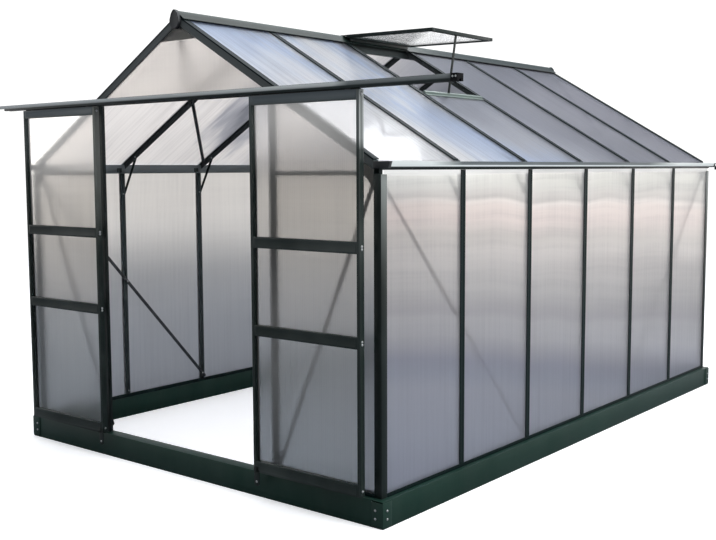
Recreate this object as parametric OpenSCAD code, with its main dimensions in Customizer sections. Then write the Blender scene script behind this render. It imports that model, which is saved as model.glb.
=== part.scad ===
// Polycarbonate greenhouse with two sliding doors and a roof vent.
//
// X runs across the front gable, Y from the front gable to the rear one and Z up.
// The origin is on the ground, in the middle of the doorway, at the front face of
// the gable's bars. Everything is in millimetres.
//
// Depth means distance inwards from the outer face of a wall or of the roof.

/* [Plan] */
// Distance between the glazing bars of a side wall
side_bay = 620; // [500:5:760]
// Distance between the upright bars of a gable
gable_bay = 620; // [500:5:760]
// Width of the base rail outside the wall's face
base_out = 28; // [10:1:60]

/* [Heights] */
// Height of the base rail
base_h = 120; // [80:5:200]
// Height where the roof's face meets the side wall's face
eave_h = 1542; // [1400:2:2000]
// Height where the two roof faces meet
ridge_h = 2265; // [2050:1:2900]
// Height of the glazing sill above the base rail
sill_h = 17; // [12:1:40]

/* [Glazing bars] */
// Thickness of a polycarbonate panel
panel_t = 6; // [4:1:10]
// Thickness of a bar's outer cap
cap_t = 3; // [2:0.5:5]
// Width of a bar's outer cap
cap_w = 38; // [30:1:60]
// Thickness of a bar's web
web_t = 4; // [3:0.5:6]
// Width of the inner flange that backs a panel
flange_w = 26; // [20:1:36]
// Thickness of an inner flange
flange_t = 2.5; // [2:0.5:4]
// Whole depth of a glazing bar
bar_d = 33; // [26:1:50]
// Width of a corner post's faces
post_w = 40; // [36:1:60]
// Width of a gable rafter's front face
gable_face = 40; // [38:1:60]

/* [Eaves and ridge] */
// Depth of the eave beam inside the wall's face
beam_d = 40; // [36:1:60]
// Height of the eave beam's inner face below the eave
beam_drop = 42; // [36:1:60]
// Width of the gutter's floor outside the wall's face
gutter_w = 36; // [25:1:60]
// Height of the gutter's rim above the eave
rim_up = 12; // [5:1:30]
// Length of a gutter end sleeve
sleeve_l = 14; // [8:2:140]
// Half width of the ridge capping
ridge_half = 50; // [40:1:70]
// Height of the ridge capping above the roof's peak
ridge_up = 19; // [14:1:40]

/* [Doors] */
// Width of a door leaf
leaf_w = 630; // [600:5:760]
// Thickness of a door leaf
leaf_t = 30; // [24:1:40]
// Distance from the gable's face to the back of a leaf
leaf_gap = 52; // [40:1:80]
// Height of a leaf's bottom edge
leaf_z = 137; // [130:1:220]
// Height of the door rail's underside
rail_z = 1852; // [1780:2:2000]
// Width of a door stile
stile_w = 16; // [14:1:60]
// Height of a leaf's top rail
head_bar_h = 42; // [30:1:70]
// Height of a leaf's two cross rails
door_bar_h = 50; // [40:1:70]
// Height of a leaf's bottom rail
kick_h = 52; // [40:1:80]
// Height of the middle of a leaf's lower cross rail
low_bar_z = 796; // [600:2:900]
// Height of the middle of a leaf's upper cross rail
high_bar_z = 1196; // [1000:2:1400]
// Where the right leaf's inner edge stands when it is drawn open
right_open = 560; // [400:1:600]
// Where the left leaf's inner edge stands when it is drawn open
left_open = 553; // [400:1:600]
// Length of the door rail left of the doorway's middle
rail_left = 1412; // [1380:1:1500]
// Length of the door rail right of the doorway's middle
rail_right = 1672; // [1640:1:1750]

/* [Roof vent] */
// Distance down the slope from the peak to the vent's sill
vent_s = 648; // [540:1:760]
// Length of the vent flap from its hinge
flap_l = 595; // [500:5:640]
// How far the open flap hangs below level, in degrees
flap_drop = 1; // [0:0.5:20]
// Thickness of the flap's frame
flap_t = 18; // [16:1:26]

/* [Hidden] */

green = "#24413a";
dark_green = "#1b2b28";
black = "#202426";
frost = [0.85, 0.88, 0.90, 0.5];
steel = "#b9bcbc";

// Gap between two pieces that touch
fit = 0.3;
// Gap at the edge of a panel, for the panel to grow in warm weather
growth = 1;
// Numbers of bays along a side wall and across a gable
side_bays = 6;
gable_bays = 4;

house_l = side_bay * side_bays;
half_w = gable_bay * gable_bays / 2;
door_half = gable_bay;
slope = atan((ridge_h - eave_h) / half_w);

// Depth of the outer face of a panel and of the flange behind it
panel_d = cap_t + fit;
seat_d = cap_t + panel_t + 2 * fit;
sill_top = base_h + sill_h;
base_in = bar_d + cap_t;
base_wall = 2.5;

// The eave beam carries the wall panels in a groove and the gutter outside it
beam_z = eave_h - beam_drop;
gutter_z = eave_h - 14;
lip_z = eave_h - 24;
rim_z = eave_h + rim_up;
gutter_lean = 9;
skin = 3;
beam_x = half_w - beam_d;
rafter_x = beam_x - fit;
beam_top = ridge_h - (beam_x + skin) * tan(slope) - (panel_d + panel_t) / cos(slope) - fit;
roof_s = (beam_x + skin + fit + (panel_d + panel_t) * sin(slope)) / cos(slope);
top_s = 12;

// Braces are flat straps that lie against the inner ends of the bars
brace_w = 20;
brace_t = 3;
brace_d = bar_d + fit;
knee_w = 18;
knee_drop = 124;
knee_in = 140;

// The ridge's foot lies clear under the roof braces, and a gable's uprights end below it
foot_w = 30;
brace_room = 10;
ridge_foot = foot_w / 2 * tan(slope) + (brace_d + brace_t) / cos(slope) + brace_room + skin;
upright_top = ridge_h - ridge_foot - fit;
// The capping's shoulder and edge, as X and height over the peak
shoulder = [24, -2];
edge_z = 7 - ridge_half * tan(slope);

// Depth of the plates behind a gable's panels, and the first depth clear of them
plate_d = seat_d + flange_t + fit;
clear_d = plate_d + brace_t + fit;

// The vent takes one bay of the right slope
vent_bay = 2;
hinge_x = 36;
// The hinge strip lies just over the capping's crest
strip_t = 2;
hinge_z = ridge_h + ridge_up + strip_t + 1;
flap_bar = 26;
strip_w = hinge_x + 10;
flap_w = side_bay - 6;
// Thickness of the bar under the flap's free edge and its height over the roof's face
vent_bar = 15;
vent_rise = 10;

// The doors hang from wheels that run inside the rail
door_y = -leaf_gap - leaf_t / 2;
pane_set = 7;
pane_y = door_y + pane_set;
rail_back = 4 - leaf_gap;
rail_w = 44;
rail_h = 30;
rail_wall = 2.5;
slot_w = 14;
rail_notch = 60;
notch_h = 11;
leaf_top = rail_z - 5;
groove = 10;
pane_t = 4;
wheel_r = 8;
axle_r = 3;
head_w = 38;

// ---------------------------------------------------------------- shapes

// Draws a profile, given as X and Z, from one Y to another
module along_y(y0, y1) {
    translate([0, y1, 0]) rotate([90, 0, 0]) linear_extrude(y1 - y0) children();
}

// Draws a profile, given as depth and height, along the front, rear, left or right wall
module along_left(y0, y1) {
    translate([-half_w, 0, 0]) along_y(y0, y1) children();
}

module along_right(y0, y1) {
    mirror([1, 0, 0]) along_left(y0, y1) children();
}

module along_front(x0, x1) {
    translate([x0, 0, 0]) rotate([90, 0, 90]) linear_extrude(x1 - x0) children();
}

module along_rear(x0, x1) {
    translate([0, house_l, 0]) mirror([0, 1, 0]) along_front(x0, x1) children();
}

// Turns X to depth, keeps Y and turns Z to the distance down the right slope
module on_right_slope() {
    translate([0, 0, ridge_h]) rotate([0, 90 + slope, 0]) children();
}

module on_both_sides() {
    children();
    mirror([1, 0, 0]) children();
}

module on_both_ends() {
    children();
    translate([0, house_l, 0]) mirror([0, 1, 0]) children();
}

// The gable's whole area below a line set in from the roof's face, as a block of air
module gable_area(inset, x_max = half_w) {
    peak = ridge_h - inset / cos(slope);
    low = peak - x_max * tan(slope);
    translate([0, 300, 0]) rotate([90, 0, 0]) linear_extrude(600)
        polygon([[-x_max, 0], [x_max, 0], [x_max, low], [0, peak], [-x_max, low]]);
}

// A flat strap with round ends, between two points of the XZ plane
module strap(p, q, width, thick) {
    length = norm(q - p);
    angle = atan2(q[1] - p[1], q[0] - p[0]);
    translate([p[0], 0, p[1]]) rotate([0, -angle, 0]) {
        translate([0, 0, -width / 2]) cube([length, thick, width]);
        for (x = [0, length])
            translate([x, 0, 0]) rotate([-90, 0, 0]) cylinder(r = width / 2, h = thick, $fn = 24);
    }
}

// A glazing bar's profile: its cap, the flange behind the panel and the web that joins them
module bar_cap() {
    translate([0, -cap_w / 2]) square([cap_t, cap_w]);
}

module bar_back() {
    translate([0, -web_t / 2]) square([bar_d, web_t]);
    translate([seat_d, -flange_w / 2]) square([flange_t, flange_w]);
}

// A corner post's profile: two faces, a core behind them and a square inner leg
module post_profile() {
    difference() {
        union() {
            square([post_w, cap_t]);
            square([cap_t, post_w]);
            square([bar_d - 13, bar_d - 13]);
            translate([seat_d, seat_d]) square([bar_d - seat_d, bar_d - seat_d]);
        }
        translate([seat_d + flange_t, seat_d + flange_t])
            square([bar_d - seat_d - 2 * flange_t, bar_d - seat_d - 2 * flange_t]);
    }
}

// A gable rafter's profile, as depth and Y: it holds the roof panel and the gable panel
module gable_rafter_profile() {
    square([cap_t, cap_w]);
    square([gable_face, cap_t]);
    square([bar_d, bar_d - 13]);
    translate([seat_d, 0]) square([flange_t, cap_w - 2]);
    translate([0, seat_d]) square([gable_face - 3, flange_t]);
}

// The glazing sill's profile: a tray with three lips
module sill_profile() {
    translate([0, base_h]) {
        square([bar_d, 2.5]);
        square([cap_t, sill_h]);
        translate([seat_d, 0]) square([flange_t, sill_h]);
        translate([bar_d - 2.5, 0]) square([2.5, sill_h]);
    }
}

// The base rail's profile: a closed folded box
module base_profile() {
    difference() {
        translate([-base_out, 0]) square([base_out + base_in, base_h]);
        translate([base_wall - base_out, base_wall])
            square([base_out + base_in - 2 * base_wall, base_h - 2 * base_wall]);
    }
}

// The eave beam's profile with its gutter, whose outer wall leans out
module eave_profile() {
    translate([beam_d - skin, beam_z]) square([skin, beam_top - beam_z]);
    translate([seat_d, beam_z]) square([beam_d - seat_d, skin]);
    translate([seat_d, beam_z]) square([flange_t, gutter_z - beam_z + 1]);
    translate([0, lip_z]) square([cap_t, gutter_z - lip_z + 1]);
    polygon([[-gutter_w, gutter_z], [beam_d, gutter_z], [beam_d, gutter_z + skin],
             [skin - gutter_w, gutter_z + skin], [skin - gutter_w - gutter_lean, rim_z],
             [-gutter_w - gutter_lean, rim_z]]);
}

// ---------------------------------------------------------------- base

module base_front() {
    color(dark_green) along_front(-half_w + base_in + fit, half_w - base_in - fit) base_profile();
}

module base_rear() {
    color(green) along_rear(-half_w + base_in + fit, half_w - base_in - fit) base_profile();
}

module base_left() {
    color(green) along_left(-base_out, house_l + base_out) base_profile();
}

module base_right() {
    color(green) along_right(-base_out, house_l + base_out) base_profile();
}

// An angle plate bolted round each corner of the base
module base_corners() {
    leg = 64;
    plate = 2.5;
    margin = 6;
    face = base_out + fit;
    color(green) on_both_ends() on_both_sides()
        translate([half_w + face, -face, margin]) mirror([1, 0, 0])
            difference() {
                translate([-plate, -plate, 0]) cube([leg, leg, base_h - 2 * margin]);
                translate([0, 0, -1]) cube([leg, leg, base_h]);
            }
}

module glazing_sills() {
    ends = post_w + fit;
    jamb_edge = door_half + cap_w / 2 + fit;
    color(green) {
        on_both_sides() along_left(ends, house_l - ends) sill_profile();
        on_both_sides() along_front(jamb_edge, half_w - ends) sill_profile();
        along_rear(-half_w + ends, half_w - ends) sill_profile();
    }
}

// ---------------------------------------------------------------- walls

module corner_posts() {
    color(green) on_both_ends() on_both_sides()
        translate([-half_w, 0, base_h]) linear_extrude(beam_z - fit - base_h) post_profile();
}

// One bar of the left wall. Its cap reaches up to the gutter's lip and its back to the beam
module wall_bar(y) {
    translate([-half_w, y, sill_top + fit]) {
        linear_extrude(lip_z - sill_top - 2 * fit) bar_cap();
        linear_extrude(beam_z - sill_top - 2 * fit) bar_back();
    }
}

module left_wall_bars() {
    color(green) for (i = [1 : side_bays - 1]) wall_bar(i * side_bay);
}

module right_wall_bars() {
    color(green) mirror([1, 0, 0]) for (i = [1 : side_bays - 1]) wall_bar(i * side_bay);
}

// An upright bar of the front gable, cut to the slope of the rafter above it
module gable_upright(x, z) {
    intersection() {
        translate([x, 0, z]) rotate([0, 0, 90]) linear_extrude(upright_top - z) {
            bar_cap();
            bar_back();
        }
        gable_area(gable_face + fit);
    }
}

module door_jambs() {
    color(dark_green) on_both_sides() gable_upright(door_half, base_h);
}

// The beam over the doorway, between the jambs and under the rafters
module door_head() {
    inner = door_half - cap_w / 2 - fit;
    color(dark_green) intersection() {
        along_front(-inner, inner) {
            translate([0, rail_z]) square([cap_t, head_w]);
            translate([0, rail_z + head_w / 2 - web_t / 2]) square([bar_d, web_t]);
            translate([seat_d, rail_z + head_w / 2 - flange_w / 2]) square([flange_t, flange_w]);
        }
        gable_area(gable_face + fit);
    }
}

// Rails across the gables at eave height, inside the panels
module gable_cross_bars() {
    low = eave_h - 48;
    high = 20;
    thick = 14;
    start = door_half + web_t / 2 + fit;
    color(green) {
        on_both_ends() on_both_sides() translate([start, clear_d, low])
            cube([beam_x - fit - start, thick, high]);
        on_both_sides() translate([web_t / 2 + fit, house_l - clear_d - thick, low])
            cube([gable_bay - web_t - 2 * fit, thick, high]);
    }
}

module rear_mullions() {
    color(green) translate([0, house_l, 0]) mirror([0, 1, 0])
        for (i = [1 : gable_bays - 1]) gable_upright(i * gable_bay - half_w, sill_top + fit);
}

// ---------------------------------------------------------------- eaves and ridge

module left_gutter() {
    color(green) along_left(0, house_l) eave_profile();
}

module right_gutter() {
    color(green) along_right(0, house_l) eave_profile();
}

// A sleeve round the end of a gutter, with a plate that closes it
module gutter_sleeve() {
    plate = 3;
    under = gutter_z - plate - fit;
    inside = -gutter_w - fit;
    outside = inside - plate;
    along_left(-plate - fit, sleeve_l)
        polygon([[-fit, under], [-fit, under + plate], [inside, under + plate], [inside, gutter_z],
                 [inside - gutter_lean, rim_z], [outside - gutter_lean, rim_z],
                 [outside, gutter_z], [outside, under]]);
    along_left(-plate - fit, -fit)
        polygon([[beam_d, under], [beam_d, rim_z], [outside - gutter_lean, rim_z],
                 [outside, gutter_z], [outside, under]]);
}

// The outlet at the rear: a shallow trough and its spout
module gutter_outlet() {
    reach = 105;
    depth = 8;
    margin = 8;
    spout_r = 9;
    along_left(house_l + fit + 3, house_l + reach)
        translate([-gutter_w, gutter_z]) square([gutter_w - margin, depth]);
    translate([-half_w - (gutter_w + margin) / 2, house_l + reach - 32, gutter_z - 20])
        cylinder(r = spout_r, h = 21, $fn = 24);
}

module gutter_ends() {
    color(black) on_both_sides() {
        gutter_sleeve();
        translate([0, house_l, 0]) mirror([0, 1, 0]) gutter_sleeve();
        gutter_outlet();
    }
}

// The right half of the capping's outline, set in by a distance
function ridge_line(in) = [[0, ridge_up - in], [10 - in / 2, ridge_up - 4 - in],
                           [shoulder[0] - in, shoulder[1] - in / 2], [ridge_half, edge_z - in]];

module ridge_capping() {
    outer = ridge_line(0);
    inner = ridge_line(skin);
    polygon(concat(outer, [for (i = [3 : -1 : 0]) inner[i]],
                   [for (i = [1 : 3]) [-inner[i][0], inner[i][1]]],
                   [for (i = [3 : -1 : 1]) [-outer[i][0], outer[i][1]]]));
}

// The capping, and below it the web that the rafters butt against
module ridge_beam() {
    color(green) {
        along_y(0, house_l) translate([0, ridge_h]) ridge_capping();
        along_y(clear_d, house_l - clear_d) translate([0, ridge_h]) {
            translate([-web_t / 2, -ridge_foot])
                square([web_t, ridge_foot + ridge_up - skin / 2]);
            translate([-foot_w / 2, -ridge_foot]) square([foot_w, skin]);
        }
    }
}

// Moulded end pieces, shaped like a pointed arch
module ridge_caps() {
    thick = 18;
    half = [[9, 20], [22, 4], [32, -22], [33, -40], [24, -58], [10, -68]];
    color(black) on_both_ends() along_y(-thick - fit, -fit) translate([0, ridge_h])
        polygon(concat([[0, 23]], half, [for (i = [5 : -1 : 0]) [-half[i][0], half[i][1]]]));
}

// ---------------------------------------------------------------- roof frame

// Keeps the part of a right-hand rafter between the ridge web and the eave beam
module cut_to_length() {
    start = web_t / 2 + fit;
    intersection() {
        children();
        translate([start, -10, eave_h - 100])
            cube([rafter_x - start, house_l + 20, ridge_h - eave_h + 200]);
    }
}

module gable_rafters() {
    color(dark_green) on_both_ends() on_both_sides() cut_to_length()
        on_right_slope() linear_extrude(half_w / cos(slope) + 50) gable_rafter_profile();
}

module right_rafter(y) {
    cut_to_length() on_right_slope() translate([0, y, 0])
        linear_extrude(half_w / cos(slope) + 50) {
            bar_cap();
            bar_back();
        }
}

module left_rafters() {
    color(green) mirror([1, 0, 0]) for (i = [1 : side_bays - 1]) right_rafter(i * side_bay);
}

module right_rafters() {
    color(green) for (i = [1 : side_bays - 1]) right_rafter(i * side_bay);
}

// Straps from each wall bar to the rafter above it
module knee_braces() {
    x_top = half_w - knee_in;
    z_top = ridge_h - x_top * tan(slope) - (seat_d + bar_d) / 2 / cos(slope);
    low = [half_w - (seat_d + bar_d) / 2, beam_z - knee_drop];
    color(green) on_both_sides() for (i = [1 : side_bays - 1])
        translate([0, i * side_bay + web_t / 2 + fit, 0])
            strap(low, [x_top, z_top], knee_w, brace_t);
}

// Diagonal straps inside the side walls and beside the doorway
module wall_braces() {
    low = sill_top + brace_w;
    high = beam_z - brace_w;
    color(steel) on_both_ends() on_both_sides() {
        translate([half_w - brace_d, 0, 0]) rotate([0, 0, 90])
            strap([post_w, high], [2 * side_bay, low], brace_w, brace_t);
        translate([0, brace_d, 0])
            strap([half_w - post_w - brace_w, high], [door_half, low], brace_w, brace_t);
    }
}

// Diagonal straps under the slopes, from each end of the ridge to the second rafter's foot
module roof_braces() {
    top_x = web_t / 2 + 5;
    top = brace_w / 2 + (top_x + (brace_d + brace_t) * sin(slope)) / cos(slope);
    foot = (beam_x - 30) / cos(slope);
    color(steel) on_both_ends() on_both_sides() on_right_slope()
        translate([brace_d + brace_t, 0, 0]) rotate([0, 0, 90])
            strap([clear_d + brace_w / 2, top], [2 * side_bay - brace_w, foot], brace_w, brace_t);
}

// Plates behind the gable panels at the peak and at the eaves
module gusset_plates() {
    apex_w = 400;
    apex_low = ridge_h - 120;
    inner = half_w - 120;
    corner = half_w - 82;
    edge = half_w - bar_d - fit;
    slot = web_t / 2 + fit;
    color(green) difference() {
        on_both_ends() intersection() {
            union() {
                translate([-apex_w / 2, plate_d, apex_low]) cube([apex_w, brace_t, apex_w]);
                on_both_sides() along_y(plate_d, plate_d + brace_t)
                    polygon([[inner, ridge_h], [inner, beam_z + 10], [corner, beam_z - 20],
                             [edge, beam_z - 90], [edge, beam_z - fit],
                             [beam_x - fit, beam_z - fit], [beam_x - fit, ridge_h]]);
            }
            gable_area(bar_d + fit);
        }
        translate([-slot, house_l - 2 * bar_d, apex_low - 1])
            cube([2 * slot, 2 * bar_d, upright_top + fit - apex_low + 1]);
    }
}

// ---------------------------------------------------------------- door rail

// The rail is a box open along its underside. Its outer face leans back at the top
module door_rail_profile() {
    front = rail_back - rail_w;
    lean = 9;
    bend = rail_z + rail_h / 2;
    inner = rail_back - rail_wall;
    top = rail_z + rail_h;
    difference() {
        polygon([[rail_back, rail_z], [rail_back, top], [front + lean, top],
                 [front, bend], [front, rail_z]]);
        polygon([[inner, rail_z + rail_wall], [inner, top - rail_wall],
                 [front + lean + rail_wall, top - rail_wall],
                 [front + rail_wall, bend], [front + rail_wall, rail_z + rail_wall]]);
        translate([door_y - slot_w / 2, rail_z - 1]) square([slot_w, rail_wall + 2]);
    }
}

module door_rail() {
    color(green) difference() {
        along_front(-rail_left, rail_right) door_rail_profile();
        translate([-rail_left - 1, -leaf_gap - rail_w, rail_z - 1])
            cube([rail_notch + 1, 2 * rail_w, notch_h + 1]);
    }
}

// Stand-off brackets behind the rail and the stop blocks inside its ends
module rail_fittings() {
    reach = -rail_back - 2 * fit;
    bracket_w = 40;
    bracket_h = 30;
    plate = 3;
    stop_l = 16;
    stop_w = 26;
    stop_h = 18;
    color(black) {
        for (x = [-door_half + 80, -200, 200, door_half - 80])
            translate([x - bracket_w / 2, rail_back + fit, rail_z + 2]) {
                cube([bracket_w, plate, bracket_h]);
                translate([0, 0, bracket_h - plate]) cube([bracket_w, reach, plate]);
                translate([0, reach - plate, 0]) cube([bracket_w, plate, bracket_h]);
            }
        for (x = [-rail_left + rail_notch, rail_right - stop_l - 4])
            translate([x, door_y - stop_w / 2, rail_z + rail_h - rail_wall - fit - stop_h])
                cube([stop_l, stop_w, stop_h]);
    }
}

// ---------------------------------------------------------------- panels

// Where the panel of a side bay starts and ends, measured along the house
function bay_start(i) = i == 0 ? bar_d - 13 + growth : i * side_bay + web_t / 2 + growth;
function bay_end(i) = house_l - bay_start(side_bays - 1 - i);

module wall_panels() {
    low = base_h + 2.5 + fit;
    high = gutter_z - 4;
    for (i = [0 : side_bays - 1])
        translate([-half_w + panel_d, bay_start(i), low])
            cube([panel_t, bay_end(i) - bay_start(i), high - low]);
}

module left_wall_panels() {
    color(frost) wall_panels();
}

module right_wall_panels() {
    color(frost) mirror([1, 0, 0]) wall_panels();
}

// A front gable panel between two X, from a height up to the rafters, cut round the eave beam
module gable_panel(x0, x1, z) {
    difference() {
        intersection() {
            translate([x0, panel_d, z]) cube([x1 - x0, panel_t, ridge_h - z]);
            gable_area(bar_d + growth);
        }
        translate([beam_x - growth, -1, beam_z - growth]) cube([beam_d, bar_d, ridge_h]);
    }
}

module front_gable_panels() {
    post_edge = half_w - (bar_d - 13) - growth;
    jamb_edge = door_half + web_t / 2 + growth;
    door_edge = door_half - web_t / 2;
    head_top = rail_z + head_w / 2 + web_t / 2 + growth;
    color(frost) {
        on_both_sides() gable_panel(jamb_edge, post_edge, base_h + 2.5 + fit);
        gable_panel(growth - door_edge, door_edge - growth, head_top);
    }
}

module rear_gable_panels() {
    step = web_t / 2 + growth;
    post_edge = half_w - (bar_d - 13) - growth;
    color(frost) translate([0, house_l, 0]) mirror([0, 1, 0]) on_both_sides() {
        gable_panel(step, gable_bay - step, base_h + 2.5 + fit);
        gable_panel(gable_bay + step, post_edge, base_h + 2.5 + fit);
    }
}

// The roof panel of one bay of the right slope, from a distance down the slope
module roof_panel(i, s) {
    on_right_slope() translate([panel_d, bay_start(i), s])
        cube([panel_t, bay_end(i) - bay_start(i), roof_s - s]);
}

module left_roof_panels() {
    color(frost) mirror([1, 0, 0]) for (i = [0 : side_bays - 1]) roof_panel(i, top_s);
}

module right_roof_panels() {
    color(frost) for (i = [0 : side_bays - 1])
        roof_panel(i, i == vent_bay ? vent_s + vent_bar + growth : top_s);
}

// ---------------------------------------------------------------- roof vent

// Turns X to the distance from the hinge and Z to height over the flap's underside
module on_flap() {
    translate([hinge_x, vent_bay * side_bay, hinge_z]) rotate([0, flap_drop, 0])
        translate([0, 3, -flap_t]) children();
}

// Four grooved bars. Thin strips at the hinge lie over the capping's crest, and the bar
// there has a lip that stands on the capping's side
module vent_frame() {
    hollow = pane_t + 2 * fit;
    in = flap_bar - groove;
    cross_w = flap_w - 2 * flap_bar - 2 * fit;
    fall = (shoulder[1] - edge_z) / (ridge_half - shoulder[0]);
    height = hinge_z - ridge_h - shoulder[1] + (hinge_x - shoulder[0]) * fall - fit;
    lip = height / (cos(flap_drop) + sin(flap_drop) * fall) - flap_t;
    color(green) on_flap() difference() {
        union() {
            for (y = [0, flap_w - flap_bar]) translate([0, y, 0]) {
                cube([flap_l, flap_bar, flap_t]);
                translate([-strip_w, 0, flap_t - strip_t]) cube([strip_w + 1, flap_bar, strip_t]);
            }
            translate([-strip_w, flap_bar + fit, flap_t - strip_t]) cube([strip_w + 1, cross_w, strip_t]);
            for (x = [0, flap_l - flap_bar])
                translate([x, flap_bar + fit, 0]) cube([flap_bar, cross_w, flap_t]);
            translate([0, flap_bar + fit, -lip]) cube([skin, cross_w, lip + 1]);
        }
        translate([in, in, (flap_t - hollow) / 2]) cube([flap_l - 2 * in, flap_w - 2 * in, hollow]);
    }
}

module vent_panel() {
    edge = flap_bar - groove + growth;
    color(frost) on_flap() translate([edge, edge, (flap_t - pane_t) / 2])
        cube([flap_l - 2 * edge, flap_w - 2 * edge, pane_t]);
}

// The bar under the flap's free edge, with the lower roof panel in its groove
module vent_sill() {
    start = vent_bay * side_bay + cap_w / 2 + fit;
    width = side_bay - cap_w - 2 * fit;
    reach = 30;
    color(green) on_right_slope() translate([0, start, vent_s]) {
        translate([-vent_rise, 0, 0]) cube([vent_rise + 25, width, vent_bar]);
        cube([cap_t, width, reach]);
        translate([seat_d, 0, 0]) cube([flange_t, width, reach]);
    }
}

// The strap that holds the flap open, from its free edge to the sill
module vent_stay() {
    middle = (vent_bay + 0.4) * side_bay;
    width = 20;
    low_s = vent_s + vent_bar / 2;
    low_rise = vent_rise + fit;
    high_l = flap_l - flap_bar / 2;
    high_t = flap_t + fit;
    low = [low_s * cos(slope) + low_rise * sin(slope),
           ridge_h - low_s * sin(slope) + low_rise * cos(slope)];
    high = [hinge_x + high_l * cos(flap_drop) - high_t * sin(flap_drop),
            hinge_z - high_l * sin(flap_drop) - high_t * cos(flap_drop)];
    run = high - low;
    color(green) translate([low[0], middle - width / 2, low[1]])
        rotate([0, atan2(run[0], run[1]), 0]) cube([brace_t, width, norm(run)]);
}

// ---------------------------------------------------------------- door leaves

// A leaf is drawn as the right one, with its inner edge at X = 0
module leaf_stiles() {
    for (x = [0, leaf_w - stile_w])
        difference() {
            translate([x, door_y - leaf_t / 2, leaf_z]) cube([stile_w, leaf_t, leaf_top - leaf_z]);
            translate([x == 0 ? stile_w - groove : x - 1, pane_y - pane_t / 2 - fit, leaf_z - 1])
                cube([groove + 1, pane_t + 2 * fit, leaf_top - leaf_z + 2]);
        }
}

// The bottom and top edge of each cross rail, from the lowest up
function leaf_rails() = [[leaf_z, leaf_z + kick_h],
                         [low_bar_z - door_bar_h / 2, low_bar_z + door_bar_h / 2],
                         [high_bar_z - door_bar_h / 2, high_bar_z + door_bar_h / 2],
                         [leaf_top - head_bar_h, leaf_top]];

module leaf_cross_rails() {
    inner = leaf_w - 2 * stile_w - 2 * fit;
    for (i = [0 : 3])
        difference() {
            translate([stile_w + fit, door_y - leaf_t / 2, leaf_rails()[i][0]])
                cube([inner, leaf_t, leaf_rails()[i][1] - leaf_rails()[i][0]]);
            if (i < 3)
                translate([0, pane_y - pane_t / 2 - fit, leaf_rails()[i][1] - groove])
                    cube([leaf_w, pane_t + 2 * fit, groove + 1]);
            if (i > 0)
                translate([0, pane_y - pane_t / 2 - fit, leaf_rails()[i][0] - 1])
                    cube([leaf_w, pane_t + 2 * fit, groove + 1]);
        }
}

module leaf_panels() {
    edge = groove - growth;
    for (i = [0 : 2])
        translate([stile_w - edge, pane_y - pane_t / 2, leaf_rails()[i][1] - edge])
            cube([leaf_w - 2 * (stile_w - edge), pane_t,
                  leaf_rails()[i + 1][0] - leaf_rails()[i][1] + 2 * edge]);
}

// Two hangers, each a plate on the leaf's top with an axle and a pair of wheels
module leaf_rollers() {
    axle_z = rail_z + rail_wall + fit + wheel_r;
    plate_w = 30;
    plate_t = 4;
    wheel_w = 6.5;
    reach = rail_back - rail_wall - 1 - door_y;
    for (x = [70, leaf_w - 70])
        translate([x, door_y, 0]) {
            translate([-plate_w / 2, -plate_t / 2, leaf_top])
                cube([plate_w, plate_t, axle_z - leaf_top + wheel_r - 1]);
            translate([0, reach, axle_z]) rotate([90, 0, 0])
                cylinder(r = axle_r, h = 2 * reach, $fn = 24);
            for (y = [reach, wheel_w - reach])
                translate([0, y, axle_z]) rotate([90, 0, 0])
                    cylinder(r = wheel_r, h = wheel_w, $fn = 32);
        }
}

module place_right() {
    translate([right_open, 0, 0]) children();
}

module place_left() {
    mirror([1, 0, 0]) translate([left_open, 0, 0]) children();
}

module left_door_stiles() {
    color(green) place_left() leaf_stiles();
}

module left_door_rails() {
    color(green) place_left() leaf_cross_rails();
}

module left_door_panels() {
    color(frost) place_left() leaf_panels();
}

module left_door_rollers() {
    color(black) place_left() leaf_rollers();
}

module right_door_stiles() {
    color(green) place_right() leaf_stiles();
}

module right_door_rails() {
    color(green) place_right() leaf_cross_rails();
}

module right_door_panels() {
    color(frost) place_right() leaf_panels();
}

module right_door_rollers() {
    color(black) place_right() leaf_rollers();
}

// ---------------------------------------------------------------- nodes

base_front();
base_rear();
base_left();
base_right();
base_corners();
glazing_sills();
corner_posts();
left_wall_bars();
right_wall_bars();
door_jambs();
door_head();
gable_cross_bars();
rear_mullions();
left_gutter();
right_gutter();
gutter_ends();
ridge_beam();
ridge_caps();
gable_rafters();
left_rafters();
right_rafters();
knee_braces();
wall_braces();
roof_braces();
gusset_plates();
door_rail();
rail_fittings();
left_wall_panels();
right_wall_panels();
front_gable_panels();
rear_gable_panels();
left_roof_panels();
right_roof_panels();
vent_frame();
vent_panel();
vent_stay();
vent_sill();
left_door_stiles();
left_door_rails();
left_door_panels();
left_door_rollers();
right_door_stiles();
right_door_rails();
right_door_panels();
right_door_rollers();
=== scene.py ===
import math

import bpy
from mathutils import Matrix, Vector


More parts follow.
